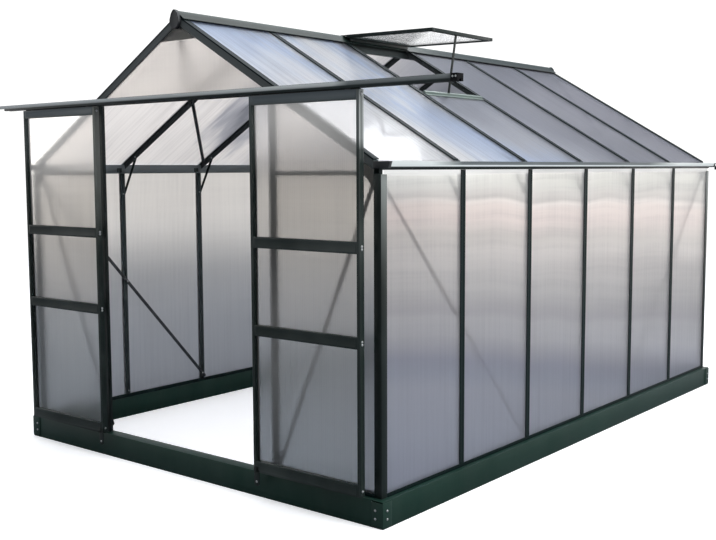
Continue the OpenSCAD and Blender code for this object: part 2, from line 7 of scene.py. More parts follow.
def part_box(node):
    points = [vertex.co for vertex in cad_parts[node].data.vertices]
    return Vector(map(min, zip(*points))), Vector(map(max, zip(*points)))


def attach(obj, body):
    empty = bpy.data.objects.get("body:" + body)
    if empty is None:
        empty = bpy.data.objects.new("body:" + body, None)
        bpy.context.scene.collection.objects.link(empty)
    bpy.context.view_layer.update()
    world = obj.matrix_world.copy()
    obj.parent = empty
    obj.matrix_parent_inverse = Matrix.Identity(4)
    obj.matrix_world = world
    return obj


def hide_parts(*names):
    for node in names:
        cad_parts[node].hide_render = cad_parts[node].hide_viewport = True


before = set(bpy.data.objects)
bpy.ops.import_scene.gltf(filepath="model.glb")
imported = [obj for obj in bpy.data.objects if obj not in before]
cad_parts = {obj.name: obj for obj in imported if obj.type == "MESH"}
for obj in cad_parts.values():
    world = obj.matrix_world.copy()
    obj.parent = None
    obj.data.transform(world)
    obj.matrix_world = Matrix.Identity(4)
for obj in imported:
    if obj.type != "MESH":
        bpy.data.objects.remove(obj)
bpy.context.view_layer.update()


# ------------------------------------------------------------------ camera
# A standing person's view of the front right corner. Its place is counted from the
# middle of the doorway at ground level, and the lens is long for such a close view.
eye = Vector((3.838, -3.374, 1.522))
turn, tilt, roll = math.radians(38.905), math.radians(-5.614), math.radians(-0.226)
ahead = Vector((-math.sin(turn) * math.cos(tilt), math.cos(turn) * math.cos(tilt), math.sin(tilt)))
level = ahead.cross(Vector((0, 0, 1))).normalized()
across = math.cos(roll) * level + math.sin(roll) * level.cross(ahead)
upward = across.cross(ahead)
camera = bpy.data.objects.new("camera", bpy.data.cameras.new("camera"))
camera.data.sensor_width = 36
camera.data.lens = 51.65
camera.matrix_world = Matrix((across, upward, -ahead)).transposed().to_4x4()
camera.location = eye
bpy.context.scene.collection.objects.link(camera)
bpy.context.scene.camera = camera


# ------------------------------------------------------------------ base rail
# A folded sheet-steel rail, powder coated dark green, that lies on the ground. An angle
# plate with a rounded fold is bolted round each of its corners.


class Wire:
    """A socket of a shader: sums on it add Math nodes, and node() adds any other node."""

    def __init__(self, tree, socket=None):
        self.tree = tree
        self.socket = socket

    def node(self, kind, settings, inputs, output=0):
        made = self.tree.nodes.new(kind)
        for key, value in settings.items():
            if key == "stops":
                elements = made.color_ramp.elements
                while len(elements) < len(value):
                    elements.new(0.5)
                for element, (place, colour) in zip(elements, value):
                    element.position = place
                    element.color = (*colour, 1)
            else:
                setattr(made, key, value)
        for key, value in inputs.items():
            if isinstance(value, Wire):
                self.tree.links.new(value.socket, made.inputs[key])
            else:
                made.inputs[key].default_value = value
        return Wire(self.tree, made.outputs[output] if made.outputs else None)

    def parts(self):
        """A vector's three values."""
        split = self.node("ShaderNodeSeparateXYZ", {}, {0: self}).socket.node
        return [Wire(self.tree, out) for out in split.outputs]

    def sum(self, operation, *values):
        clamp = operation == "CLAMP"
        settings = {"operation": "ADD" if clamp else operation, "use_clamp": clamp}
        return self.node("ShaderNodeMath", settings, dict(enumerate(values)))

    def held(self):
        """The value kept between 0 and 1."""
        return self.sum("CLAMP", self, 0)

    def size(self):
        return self.sum("ABSOLUTE", self)

    def __add__(self, other):
        return self.sum("ADD", self, other)

    def __sub__(self, other):
        return self.sum("SUBTRACT", self, other)

    def __rsub__(self, other):
        return self.sum("SUBTRACT", other, self)

    def __mul__(self, other):
        return self.sum("MULTIPLY", self, other)

    __radd__ = __add__
    __rmul__ = __mul__


def new_material(name):
    """A blank material, and its piece's own coordinates as a vector and as three values."""
    material = bpy.data.materials.new(name)
    material.use_nodes = True
    material.node_tree.nodes.clear()
    place = Wire(material.node_tree).node("ShaderNodeTexCoord", {}, {}, "Object")
    return material, place, place.parts()


def finish_material(material, sockets):
    """Closes a material with one Principled shader whose sockets are given."""
    shader = Wire(material.node_tree).node("ShaderNodeBsdfPrincipled", {}, sockets)
    shader.node("ShaderNodeOutputMaterial", {"is_active_output": True}, {"Surface": shader})
    return material


def noise(place, scale, detail=2.0, roughness=0.5, stretch=(1, 1, 1)):
    """Noise from 0 to 1, with a pattern that stretch makes finer along an axis."""
    spread = place.node("ShaderNodeMapping", {}, {"Vector": place, "Scale": stretch})
    inputs = {"Vector": spread, "Scale": scale, "Detail": detail, "Roughness": roughness}
    return place.node("ShaderNodeTexNoise", {}, inputs, "Fac")


def relief(height, strength, distance):
    """A bump whose deepest part is distance metres."""
    inputs = {"Height": height, "Strength": strength, "Distance": distance}
    return height.node("ShaderNodeBump", {}, inputs)


def blend(share, first, second):
    """A colour between two others, each of them a link or three numbers."""
    first, second = (c if isinstance(c, Wire) else (*c, 1) for c in (first, second))
    return share.node(
        "ShaderNodeMix", {"data_type": "RGBA"}, {"Factor": share, 6: first, 7: second}, 2
    )


def past(value, edge, rate):
    """How far a value is past an edge, times a rate: it passes 1 at 1 / rate beyond it."""
    return (value - edge) * rate


def powder_coat(name, colour, dusty, pale=(), sheen=0.3):
    """Satin paint with orange peel, faint streaks and dust. Each tone in pale is a painted light or
    painted shade and has a share.
    """
    chalk = (0.16, 0.18, 0.17)
    material, place, (x, y, z) = new_material(name)
    streaks = noise(place, 6, 4, 0.6, (1, 1, 0.25))
    cloud = noise(place, 2.3, 3)
    peel = noise(place, 900, 1)
    near_ground = (0.2 - z) * 1.2
    dust = (past(streaks, 0.42, 1.6) + near_ground).held() * dusty
    dark = tuple(c * 0.72 for c in colour)
    paint = blend(past(cloud, 0.3, 2).held(), dark, colour)
    for share, light in pale:
        paint = blend((share(x, y, z) + 0.2 * (cloud - 0.5)).held(), paint, light)
    return finish_material(material, {
        "Base Color": blend(dust, paint, chalk),
        "Roughness": 0.34 + 0.12 * streaks + 0.2 * dust,
        "Normal": relief(peel, 0.08, 0.0004),
        "Specular IOR Level": sheen,
    })


def dull_zinc(name, colour):
    """Plated steel with a faint spangle and grey bloom."""
    material, place, _ = new_material(name)
    spangle = noise(place, 260, 3, 0.6)
    bloom = noise(place, 14, 3)
    worn = tuple(c * 0.6 for c in colour)
    return finish_material(material, {
        "Base Color": blend(past(bloom, 0.35, 2).held(), worn, colour),
        "Metallic": 0.85,
        "Roughness": 0.32 + 0.2 * spangle,
        "Normal": relief(spangle, 0.1, 0.0003),
    })


def only(*pieces):
    """Selects these pieces and nothing else."""
    bpy.ops.object.select_all(action="DESELECT")
    for piece in pieces:
        piece.select_set(True)
    bpy.context.view_layer.objects.active = pieces[0]


def pick(piece, wanted):
    """In edit mode, leaves selected only the faces for which wanted is true."""
    bpy.ops.mesh.select_mode(type="FACE")
    bpy.ops.mesh.select_all(action="DESELECT")
    bpy.ops.object.mode_set(mode="OBJECT")
    for face in piece.data.polygons:
        face.select = wanted(face)
    bpy.ops.object.mode_set(mode="EDIT")


def round_edges(piece, radius, steps=2):
    """Rounds every sharp edge of a piece and shades it smooth between them."""
    sharp = math.radians(40)
    edge = piece.modifiers.new("edge", "BEVEL")
    edge.width = radius
    edge.segments = steps
    edge.limit_method = "ANGLE"
    edge.angle_limit = sharp
    only(piece)
    bpy.ops.object.modifier_apply(modifier="edge")
    bpy.ops.object.shade_smooth_by_angle(angle=sharp)


def formed(node, material, radius, channels=(), body="house"):
    """A finished copy of a node: faces merged, channels rolled in, edges rounded.

    A channel is (direction of its face, least area, width of its margins, depth).
    """
    piece = bpy.data.objects.new(node + "_formed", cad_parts[node].data.copy())
    bpy.context.scene.collection.objects.link(piece)
    only(piece)
    bpy.ops.mesh.customdata_custom_splitnormals_clear()
    bpy.ops.object.mode_set(mode="EDIT")
    bpy.ops.mesh.select_all(action="SELECT")
    bpy.ops.mesh.remove_doubles(threshold=0.00002)
    bpy.ops.mesh.dissolve_limited(angle_limit=math.radians(1))
    for toward, least, margin, depth in channels:
        way = Vector(toward).normalized()
        pick(piece, lambda face: face.normal.dot(way) > 0.999 and face.area > least)
        bpy.ops.mesh.inset(thickness=margin, use_individual=True)
        bpy.ops.mesh.inset(thickness=depth, depth=-depth, use_individual=True)
    bpy.ops.object.mode_set(mode="OBJECT")
    round_edges(piece, radius)
    piece.data.materials.clear()
    piece.data.materials.append(material)
    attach(piece, body)
    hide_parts(node)
    return piece


def set_out(pattern, name, places, material, body="house"):
    """Copies of a small piece, each turned from +Z to a direction and moved to a place."""
    copies = []
    for spot, toward in places:
        made = bpy.data.objects.new(name, pattern.data.copy())
        turned = Vector((0, 0, 1)).rotation_difference(Vector(toward)).to_matrix().to_4x4()
        made.data.transform(Matrix.Translation(spot) @ turned)
        bpy.context.scene.collection.objects.link(made)
        copies.append(made)
    only(*copies)
    bpy.ops.object.join()
    piece = bpy.context.object
    piece.name = name
    piece.data.materials.clear()
    piece.data.materials.append(material)
    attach(piece, body)
    return piece


base_paint = powder_coat("base_paint", (0.008, 0.036, 0.025), 0.1, sheen=0.25)
for side in ("front", "rear", "left", "right"):
    formed("base_" + side, base_paint, 0.0025)
formed("base_corners", base_paint, 0.001)

# A washer with a low domed head on it
washer_r, washer_t = 0.0058, 0.0012
head_up, head_dome = 0.0018, 0.0009
bpy.ops.object.select_all(action="DESELECT")
bpy.ops.mesh.primitive_cylinder_add(
    vertices=20, radius=washer_r, depth=washer_t, location=(0, 0, washer_t / 2)
)
bolt = bpy.context.object
bpy.ops.object.transform_apply(location=True)
bpy.ops.object.mode_set(mode="EDIT")
pick(bolt, lambda face: face.normal.z > 0.9)
bpy.ops.mesh.inset(thickness=0.0014)
bpy.ops.mesh.extrude_region_move(TRANSFORM_OT_translate={"value": (0, 0, head_up)})
bpy.ops.mesh.inset(thickness=0.0016, depth=head_dome)
bpy.ops.object.mode_set(mode="OBJECT")
round_edges(bolt, 0.0002, 1)

bolt_zinc = dull_zinc("bolt_zinc", (0.66, 0.68, 0.68))
plate_low, plate_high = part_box("base_corners")
bolt_heights = (0.041, 0.078)
from_side, from_end = 0.042, 0.029
places = []
for side, x in ((-1, plate_low.x), (1, plate_high.x)):
    for end, y in ((-1, plate_low.y), (1, plate_high.y)):
        for z in bolt_heights:
            places.append(((x - side * from_side, y, z), (0, end, 0)))
            places.append(((x, y - end * from_end, z), (side, 0, 0)))
set_out(bolt, "base_corner_bolts", places, bolt_zinc)


# ------------------------------------------------------------------ sills, posts and bars
# Aluminium extrusions, coated the same green, that stand on the base rail. Each has an
# outer cap with a shallow channel and a web that reaches in between the panels.
wall_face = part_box("right_wall_bars")[1].x
cap_back = wall_face - 0.004
post_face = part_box("corner_posts")[1].x - 0.002
sky_lit_from, glare_from = 1.36, 1.0


def behind_cap(x, y, z):
    """The web and the inner flange of a wall bar, which light from inside makes pale."""
    return past(x.size(), cap_back, -900)


def post_glare(x, y, z):
    """The outer side of a post, which the sky lights more towards the top."""
    climb = past(z, glare_from, 1).held() * past(z, glare_from, 4.5)
    return past(x, post_face, 1000).held() * climb.held()


bar_green = (0.0035, 0.0125, 0.0125)
shade_green = (0.005, 0.011, 0.0095)
frame_paint = powder_coat("frame_paint", bar_green, 0.03, sheen=0.12)
shade_paint = powder_coat("shade_paint", shade_green, 0.05)
bar_paint = powder_coat("bar_paint", bar_green, 0.03, sheen=0.12, pale=[
    (behind_cap, (0.085, 0.10, 0.10)),
])
# A post is painted paler towards its top and on its outer side, as painted light from the sky.
post_paint = powder_coat("post_paint", shade_green, 0.05, pale=[
    (lambda x, y, z: past(z, sky_lit_from, 3), (0.055, 0.066, 0.061)),
    (post_glare, (0.21, 0.23, 0.22)),
])
channel_depth = 0.0007


def cap_channel(toward):
    """The shallow channel in a bar's outer cap."""
    return toward, 0.03, 0.009, channel_depth


formed("glazing_sills", frame_paint, 0.0006)
formed("corner_posts", post_paint, 0.001)
for side, way in (("left", -1), ("right", 1)):
    formed(side + "_wall_bars", bar_paint, 0.0007, [cap_channel((way, 0, 0))])
formed("rear_mullions", frame_paint, 0.0007, [cap_channel((0, 1, 0))])
formed("door_jambs", shade_paint, 0.0007, [cap_channel((0, -1, 0))])
formed("door_head", shade_paint, 0.0007)
formed("gable_cross_bars", frame_paint, 0.001)

# A bolt through each bar's web into its foot
beam_start, beam_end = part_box("right_gutter")
bay = (beam_end.y - beam_start.y) / 6
bar_lines = [bay * i for i in range(1, 6)]
half_web = 0.002
bolt_x = wall_face - 0.025
foot_bolt_z = 0.158
foot_bolts = [((side * bolt_x, y - half_web, foot_bolt_z), (0, -1, 0))
              for side in (-1, 1) for y in bar_lines]
set_out(bolt, "bar_foot_bolts", foot_bolts, bolt_zinc)


# ------------------------------------------------------------------ gutters
# Extruded eave beams that hold the wall panels and carry a gutter outside. The gutter's
# leaning face is painted pale, a painted reflection of the sky, and black moulded sleeves
# close its ends.
sky_reflection_from = beam_end.z - 0.024
rim_from = beam_end.z - 0.017
rim_front, rim_rear = 0.30, 3.1


def rim(x, y, z):
    """The gutter's rim, which is painted darker than the painted reflection on its face, except
    near its ends.
    """
    along = past(y, rim_front, 4).held() * past(y, rim_rear, -2).held()
    return past(z, rim_from, 300).held() * along


# Painted light on the gutter: its face is painted pale above its lower edge as a painted reflection
# of the sky, its rim darker except near its ends, and the beam's inner side paler as painted light
# from inside.
gutter_paint = powder_coat("gutter_paint", (0.020, 0.030, 0.028), 0.1, pale=[
    (lambda x, y, z: past(z, sky_reflection_from, 330), (0.80, 0.85, 0.83)),
    (rim, (0.14, 0.16, 0.165)),
    (lambda x, y, z: past(x.size(), beam_start.x + 0.001, -2000), (0.13, 0.145, 0.145)),
])
for side in ("left", "right"):
    formed(side + "_gutter", gutter_paint, 0.0007)


def moulded_plastic(name, colour, roughness, sheen=0.5):
    """Black plastic with a fine moulded grain."""
    material, place, _ = new_material(name)
    grain = noise(place, 1400, 2)
    cloud = noise(place, 9, 3)
    worn = tuple(c * 1.8 + 0.006 for c in colour)
    return finish_material(material, {
        "Base Color": blend(cloud * 0.5, colour, worn),
        "Roughness": roughness + 0.15 * cloud,
        "Normal": relief(grain, 0.15, 0.0004),
        "Specular IOR Level": sheen,
    })


end_plastic = moulded_plastic("end_plastic", (0.010, 0.012, 0.014), 0.4)
formed("gutter_ends", end_plastic, 0.0008)


def block_of(size, middle):
    """A plain block, left in edit mode to be shaped, with its place in its mesh."""
    bpy.ops.object.select_all(action="DESELECT")
    bpy.ops.mesh.primitive_cube_add(size=1, location=middle)
    piece = bpy.context.object
    piece.scale = size
    bpy.ops.object.transform_apply(location=True, scale=True)
    bpy.ops.object.mode_set(mode="EDIT")
    return piece


# Pressed cleats that tie each bar's head to the beam
cleat_w, cleat_l, cleat_t = 0.026, 0.034, 0.0025
cleat = block_of((cleat_w, cleat_l, cleat_t), (0, 0, cleat_t / 2))
pick(cleat, lambda face: face.normal.z > 0.9)
bpy.ops.mesh.inset(thickness=0.006)
bpy.ops.mesh.inset(thickness=0.002, depth=-0.0012)
bpy.ops.object.mode_set(mode="OBJECT")
round_edges(cleat, 0.0005)
cleat_x = beam_start.x - 0.0001
cleat_z = beam_start.z + 0.020
cleat_places = [((side * cleat_x, y - 0.045, cleat_z), (-side, 0, 0))
                for side in (-1, 1) for y in bar_lines]
set_out(cleat, "eave_cleats", cleat_places, shade_paint)


# ------------------------------------------------------------------ ridge
# A folded capping on a web, both coated green, that closes the roof's top edge. A pointed
# moulded cap is pushed on at each end.
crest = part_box("ridge_beam")[1].z
crest_edge, web_top = crest - 0.012, crest - 0.045
# The web below the capping is painted a lighter grey, as painted light on a part that stands in
# shade.
ridge_paint = powder_coat("ridge_paint", (0.010, 0.020, 0.017), 0.1, pale=[
    (lambda x, y, z: past(z, crest_edge, 170), (0.013, 0.031, 0.025)),
    (lambda x, y, z: past(z, web_top, -200), (0.070, 0.088, 0.088)),
])
formed("ridge_beam", ridge_paint, 0.0007)
formed("ridge_caps", end_plastic, 0.0015,
       [((0, way, 0), 0.003, 0.006, 0.0015) for way in (-1, 1)])


# ------------------------------------------------------------------ rafters
# The same green extrusions as the wall's, cut to the slope and bolted to the ridge and the
# eaves. The gables' own rafters show a channelled face to the front or rear as well.
slope = math.radians(30.245)
outward = Vector((math.sin(slope), 0, math.cos(slope)))
left_outward = Vector((-outward.x, 0, outward.z))
rafter_low, rafter_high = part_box("right_rafters")
peak_line = rafter_high.z + rafter_low.x * math.tan(slope)
cap_depth = 0.006


def under(x, y, z):
    """A share that is 1 on the parts of a rafter deeper than its outer cap, which are painted paler
    as painted light from inside.
    """
    depth = (peak_line - z) * math.cos(slope) - x.size() * math.sin(slope)
    return past(depth, cap_depth, 500)


rafter_paint = powder_coat("rafter_paint", (0.004, 0.0105, 0.0115), 0.03, sheen=0.08,
                           pale=[(under, (0.085, 0.095, 0.095))])
formed("left_rafters", rafter_paint, 0.0007, [cap_channel(left_outward)])
formed("right_rafters", rafter_paint, 0.0007, [cap_channel(outward)])
formed("gable_rafters", rafter_paint, 0.0007,
       [cap_channel((0, way, 0)) for way in (-1, 1)])


# ------------------------------------------------------------------ braces and plates
# Flat straps and pressed plates bolted to the bars: knee braces from each wall bar to its
# rafter, long zinc-plated diagonals, and plates behind the gables' corners.
plate_paint = powder_coat("plate_paint", (0.010, 0.017, 0.016), 0.05)
formed("knee_braces", plate_paint, 0.0006)
formed("gusset_plates", plate_paint, 0.0006)
strap_zinc = dull_zinc("strap_zinc", (0.10, 0.105, 0.11))
formed("wall_braces", strap_zinc, 0.0006)
formed("roof_braces", strap_zinc, 0.0006)

# One bolt on each side of a knee brace's foot and of its head
knee_low, knee_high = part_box("knee_braces")
half_strap, brace_t = 0.009, 0.0033
knee_foot = (knee_high.x - half_strap, knee_low.z + half_strap)
knee_head = (1.100, knee_high.z - half_strap)
knee_places = []
for side in (-1, 1):
    for y in bar_lines:
        for x, z in (knee_foot, knee_head):
            knee_places.append(((side * x, y - half_web, z), (0, -1, 0)))
            knee_places.append(((side * x, y + half_web + brace_t, z), (0, 1, 0)))
set_out(bolt, "knee_brace_bolts", knee_places, bolt_zinc)

# Three bolts along each wall's diagonal, where it crosses the post and the bars
strap_low, strap_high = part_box("wall_braces")
strap_face = strap_high.x - 0.003
head_y, head_z = 0.040, strap_high.z - 0.010
foot_y, foot_z = 2 * bay, strap_low.z + 0.010
strap_places = []
for share in (0.02, 0.483, 0.985):
    y = head_y + share * (foot_y - head_y)
    z = head_z + share * (foot_z - head_z)
    for side in (-1, 1):
        strap_places.append(((side * strap_face, y, z), (-side, 0, 0)))
        strap_places.append(((side * strap_face, 6 * bay - y, z), (-side, 0, 0)))
set_out(bolt, "wall_brace_bolts", strap_places, bolt_zinc)


# ------------------------------------------------------------------ panels
# Twin-wall polycarbonate: two clear glossy skins joined by fine ribs, which run up the
# walls and down the roof. The ribs scatter and streak whatever is seen through it. The
# sheets' tints, bands and patches are painted light, painted reflections and painted shade,
# and some sheets carry a painted glow.
rib_pitch = 0.0105
bar_shadow = (0.012, 0.022, 0.024)
band_grey = (0.24, 0.24, 0.27)


def paint_nodes(material, *names):
    """Gives CAD nodes a material."""
    for name in names:
        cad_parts[name].data.materials.clear()
        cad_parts[name].data.materials.append(material)


def twin_wall(name, rib_axis, tone, tints, ribs, haze, clear=0.92, coat=0.6, ior=1.2,
              veil=None, glow=0.1):
    """Ribbed sheet. From place and parts, tone works out a share of its tints, its darker bands
    and where a bar behind it shows dark as painted shade; the tints are partly the sheet's own
    colour and partly painted light and painted reflections. A sheet can carry a veil of light
    caught in its ribs, which is a painted glow from its emission."""
    material, place, parts = new_material(name)
    along = (0.02, 1, 0.02) if rib_axis == 1 else (1, 0.02, 0.02)
    lines = noise(place, 56, 2, 0.6, along)
    fine = place.sum("SINE", parts[rib_axis] * (2 * math.pi / rib_pitch))
    share, bands, seat = tone(place, parts)
    tint = share.node("ShaderNodeValToRGB", {"stops": tints}, {0: share.held()})
    shade = (past(lines, 0.36, 2.2) * ribs + 0.35 * ribs * fine + bands).held()
    base = blend(shade, tint, band_grey)
    if seat:
        base = blend(seat, base, bar_shadow)
    caught = (0, 0, 0, 1)
    if veil:
        caught = blend(veil(*parts).held(), (0, 0, 0), (glow, glow, glow))
    return finish_material(material, {
        "Base Color": base,
        "Roughness": haze + 0.12 * lines,
        "Transmission Weight": clear,
        "IOR": ior,
        "Coat Weight": coat,
        "Coat Roughness": 0.08,
        "Emission Color": caught,
        "Emission Strength": 1.0,
        "Normal": relief(0.6 * fine + 1.6 * lines, 0.35, 0.0006),
    })


def off_bay(y):
    """How far along a wall or roof a place is from the middle of its bay, up to 0.5 at a bar."""
    return (y.sum("FRACT", y * (1 / bay)) - 0.5).size()


def by_height(low_z, high_z, drift, ripple):
    """A share that grows with height, for tints that paint light and shade by height, with soft
    clouds, and thin wavy bands of painted reflection in the upper half.
    """
    def tone(place, parts):
        height = past(parts[2], low_z, 1 / (high_z - low_z))
        cloud = noise(place, 1.7, 3, 0.5, (0.4, 0.4, 1.4))
        wavy = noise(place, 3.0, 4, 0.6, (0.25, 0.25, 4.4))
        thin = noise(place, 7.0, 3, 0.6, (0.12, 0.12, 5.0))
        upper = (height * 2.2 - 0.7).held()
        bands = ((wavy - 0.5) * ripple + (thin - 0.5) * ripple) * (upper + 0.2)
        return height + (cloud - 0.5) * drift, bands, None
    return tone


def by_strata(drift, ripple):
    """Wavy level bands of painted reflection that arch across each panel and sink a little towards
    the rear.
    """
    head, fall, sink = 1.52, 1.4, 0.21

    def tone(place, parts):
        off_centre = off_bay(parts[1])
        swell = 0.036 * noise(place, 0.9, 1, 0.5, (0, 1, 0)) - 0.004
        arch = (1 - 4 * off_centre * off_centre) * swell
        wave = (noise(place, 1.6, 2, 0.5, (0, 1, 0.3)) - 0.5) * 0.05
        drop = place.sum("DIVIDE", head - parts[2] + arch + wave, 1 + sink * parts[1])
        cloud = noise(place, 1.7, 3, 0.5, (0.4, 0.4, 1.4))
        stratum = place.node("ShaderNodeCombineXYZ", {}, {0: drop * 26, 1: parts[1] * 0.5})
        thin = noise(stratum, 1.0, 3, 0.6)
        upper = (1.2 - 1.5 * drop).held()
        return 1 - drop * (1 / fall) + (cloud - 0.5) * drift, (thin - 0.5) * (upper * ripple), None
    return tone


def by_length(drift, streaks, rise=0.0, patches=(), margin=0.75):
    """A share that grows from the front gable to the rear, and uphill by rise, with clouds,
    streaks down the slope, soft round patches and a darker margin along each rafter. The share
    paints the roof darker towards the rear as painted shade, the patches are painted glare where
    they lighten and painted shadow where they darken, and the margin is painted shade."""
    roof_foot = 1.56
    drawn_out = (0.6, 1.25, 0.6)

    def tone(place, parts):
        cloud = noise(place, 1.6, 3, 0.55, (1.0, 0.6, 1.0))
        streak = noise(place, 9, 3, 0.6, (0.2, 1.0, 0.2))
        share = parts[1] * (1 / (6 * bay)) + past(parts[2], roof_foot, rise) + (cloud - 0.5) * drift
        drawn = place.node("ShaderNodeVectorMath", {"operation": "MULTIPLY"},
                           {0: place, 1: drawn_out})
        for centre, radius, strength in patches:
            middle = tuple(c * out for c, out in zip(centre, drawn_out))
            away = place.node("ShaderNodeVectorMath", {"operation": "DISTANCE"},
                              {0: drawn, 1: middle}, "Value")
            ragged = away * (1 / radius) + (streak - 0.5) * 1.6
            share = share + (1 - ragged).held() * strength
        off_centre = off_bay(parts[1])
        beside = past(off_centre, 0.445, 18).held()
        seat = past(off_centre, 0.455, 120).held() if margin else None
        return share, (streak - 0.5) * streaks + beside * margin, seat
    return tone


def wall_veil(x, y, z):
    """Light caught in the right wall's top edge and in the head of its front panels."""
    front = past(y, 1.4, -1.2).held()
    return past(z, 1.490, 60).held() * 0.6 + past(z, 1.38, 8).held() * front * 0.3


def leaf_veil(x, y, z):
    """Light caught in the heads of the leaves and low on the right one."""
    low = (past(z, 1.1, -3) * x).held() * (z - 0.15)
    return past(z, 1.48, 4).held() + low * 0.35


def flap_veil(x, y, z):
    """Light caught in the vent's rear outer half."""
    return past(x + 0.93 * y, 1.70, 10)


# The right wall's tints paint reflected bands of light and shade, bluer and darker towards its
# foot, and the other sheets' tints paint light and shade by height and along the roofs.
wall_tints = [
    (0.0, (0.60, 0.62, 0.72)), (0.20, (0.71, 0.73, 0.81)), (0.34, (0.74, 0.75, 0.825)),
    (0.385, (0.67, 0.69, 0.78)), (0.425, (0.66, 0.665, 0.76)), (0.455, (0.74, 0.73, 0.79)),
    (0.50, (0.86, 0.84, 0.86)), (0.557, (0.85, 0.825, 0.83)), (0.575, (0.74, 0.71, 0.725)),
    (0.60, (0.78, 0.75, 0.75)), (0.64, (0.86, 0.83, 0.815)), (0.76, (0.87, 0.83, 0.81)),
    (0.79, (0.77, 0.735, 0.715)), (0.80, (0.74, 0.705, 0.685)), (0.82, (0.80, 0.745, 0.725)),
    (0.85, (0.89, 0.80, 0.78)), (0.885, (0.90, 0.82, 0.795)), (0.900, (0.97, 0.92, 0.90)),
    (0.910, (0.68, 0.66, 0.65)), (0.922, (0.74, 0.725, 0.715)), (0.95, (0.79, 0.80, 0.78)),
    (0.975, (0.88, 0.895, 0.87)), (0.99, (1.0, 1.0, 1.0)),
]
right_wall_sheet = twin_wall("right_wall_sheet", 1, by_strata(0.04, 1.0), wall_tints,
                             ribs=0.2, haze=0.30, clear=0.84, veil=wall_veil, glow=0.36)
left_wall_sheet = twin_wall("left_wall_sheet", 1, by_height(0.12, 1.52, 0.12, 0.2), [
    (0.0, (0.70, 0.70, 0.72)), (0.38, (0.80, 0.79, 0.79)), (0.64, (0.70, 0.69, 0.68)),
    (0.88, (0.55, 0.54, 0.53)), (1.0, (0.53, 0.52, 0.51)),
], ribs=0.2, haze=0.30)
gable_sheet = twin_wall("gable_sheet", 0, by_height(0.12, 1.9, 0.1, 0.15), [
    (0.0, (0.96, 0.97, 0.97)), (0.4, (0.98, 0.98, 0.97)), (0.8, (1.0, 0.97, 0.93)),
    (1.0, (1.0, 0.97, 0.93)),
], ribs=0.10, haze=0.25, clear=0.98, coat=0.2)
leaf_sheet = twin_wall("leaf_sheet", 0, by_height(0.19, 1.80, 0.08, 0.16), [
    (0.0, (0.98, 1.0, 1.0)), (0.36, (0.99, 1.0, 1.0)), (0.42, (1.0, 0.98, 0.96)),
    (0.7, (0.92, 0.90, 0.87)), (1.0, (1.0, 0.98, 0.96)),
], ribs=0.14, haze=0.24, clear=0.98, coat=0.2, veil=leaf_veil, glow=0.11)
# Painted light and shade on the right slope: the first two patches are painted glare, the third a
# painted shadow, and its tints darken towards the rear as painted shade.
right_patches = [
    ((0.98, 0.40, 1.69), 0.60, -0.46), ((0.15, 0.85, 2.18), 0.45, -0.55),
    ((0.85, 1.40, 1.77), 0.35, 0.15),
]
right_roof_sheet = twin_wall("right_roof_sheet", 1, by_length(0.12, 0.3, 0.45, right_patches), [
    (0.0, (0.99, 0.99, 1.0)), (0.20, (0.84, 0.90, 1.0)), (0.36, (0.56, 0.69, 0.94)),
    (0.50, (0.52, 0.545, 0.61)), (0.66, (0.30, 0.315, 0.38)), (0.80, (0.30, 0.31, 0.365)),
    (0.88, (0.34, 0.35, 0.41)), (1.0, (0.295, 0.30, 0.36)),
], ribs=0.5, haze=0.26, coat=0.25)
# The left slope's two patches are painted shadows, and its tints darken towards the rear as painted
# shade.
left_patches = [((-1.10, 0.28, 1.62), 0.42, 0.45), ((-0.60, 1.12, 1.92), 0.48, 0.45)]
left_roof_sheet = twin_wall("left_roof_sheet", 1, by_length(0.2, 0.4, 0.0, left_patches), [
    (0.0, (0.86, 0.84, 0.84)), (0.42, (0.86, 0.84, 0.84)), (0.55, (0.42, 0.43, 0.48)),
    (0.72, (0.20, 0.212, 0.25)), (1.0, (0.185, 0.197, 0.233)),
], ribs=0.4, haze=0.24, clear=0.96)
flap_sheet = twin_wall("flap_sheet", 0, by_length(0.0, 0.1, margin=0), [
    (0.0, (0.97, 0.99, 0.99)), (1.0, (1.0, 1.0, 1.0)),
], ribs=0.2, haze=0.1, clear=0.96, coat=0.0, ior=1.08, veil=flap_veil, glow=0.15)
paint_nodes(left_wall_sheet, "left_wall_panels")
paint_nodes(right_wall_sheet, "right_wall_panels")
paint_nodes(gable_sheet, "front_gable_panels", "rear_gable_panels")
paint_nodes(leaf_sheet, "left_door_panels", "right_door_panels")
paint_nodes(left_roof_sheet, "left_roof_panels")
paint_nodes(right_roof_sheet, "right_roof_panels")
paint_nodes(flap_sheet, "vent_panel")


# ------------------------------------------------------------------ roof vent
# A hinged flap of four grooved bars with a panel in them, held open by a flat stay from
# the sill bar that closes the gap in the roof below it.
vent_paint = powder_coat("vent_paint", (0.012, 0.022, 0.020), 0.08)
formed("vent_frame", vent_paint, 0.0006)
formed("vent_stay", shade_paint, 0.0006)
sill_paint = powder_coat("sill_paint", (0.20, 0.25, 0.23), 0.1)
formed("vent_sill", sill_paint, 0.0007)


# ------------------------------------------------------------------ door rail
# A box rail on stand-off brackets over the doorway, whose face leans back at the top. A
# black stop block with two bolts closes its right end.
rail_low, rail_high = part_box("door_rail")
lean_from, top_edge = rail_low.z + 0.009, rail_high.z - 0.001
lit_to = 1.14


def leaning_face(x, y, z):
    """The upper part of the rail's face, up to its top edge, which is painted paler as painted
    light from the sky.
    """
    return past(z, lean_from, 200).held() * past(z, top_edge, -3000).held()


def lit_face(x, y, z):
    """The same face, brighter in the light except at the rail's right end."""
    return leaning_face(x, y, z) * past(x, lit_to, -12).held()


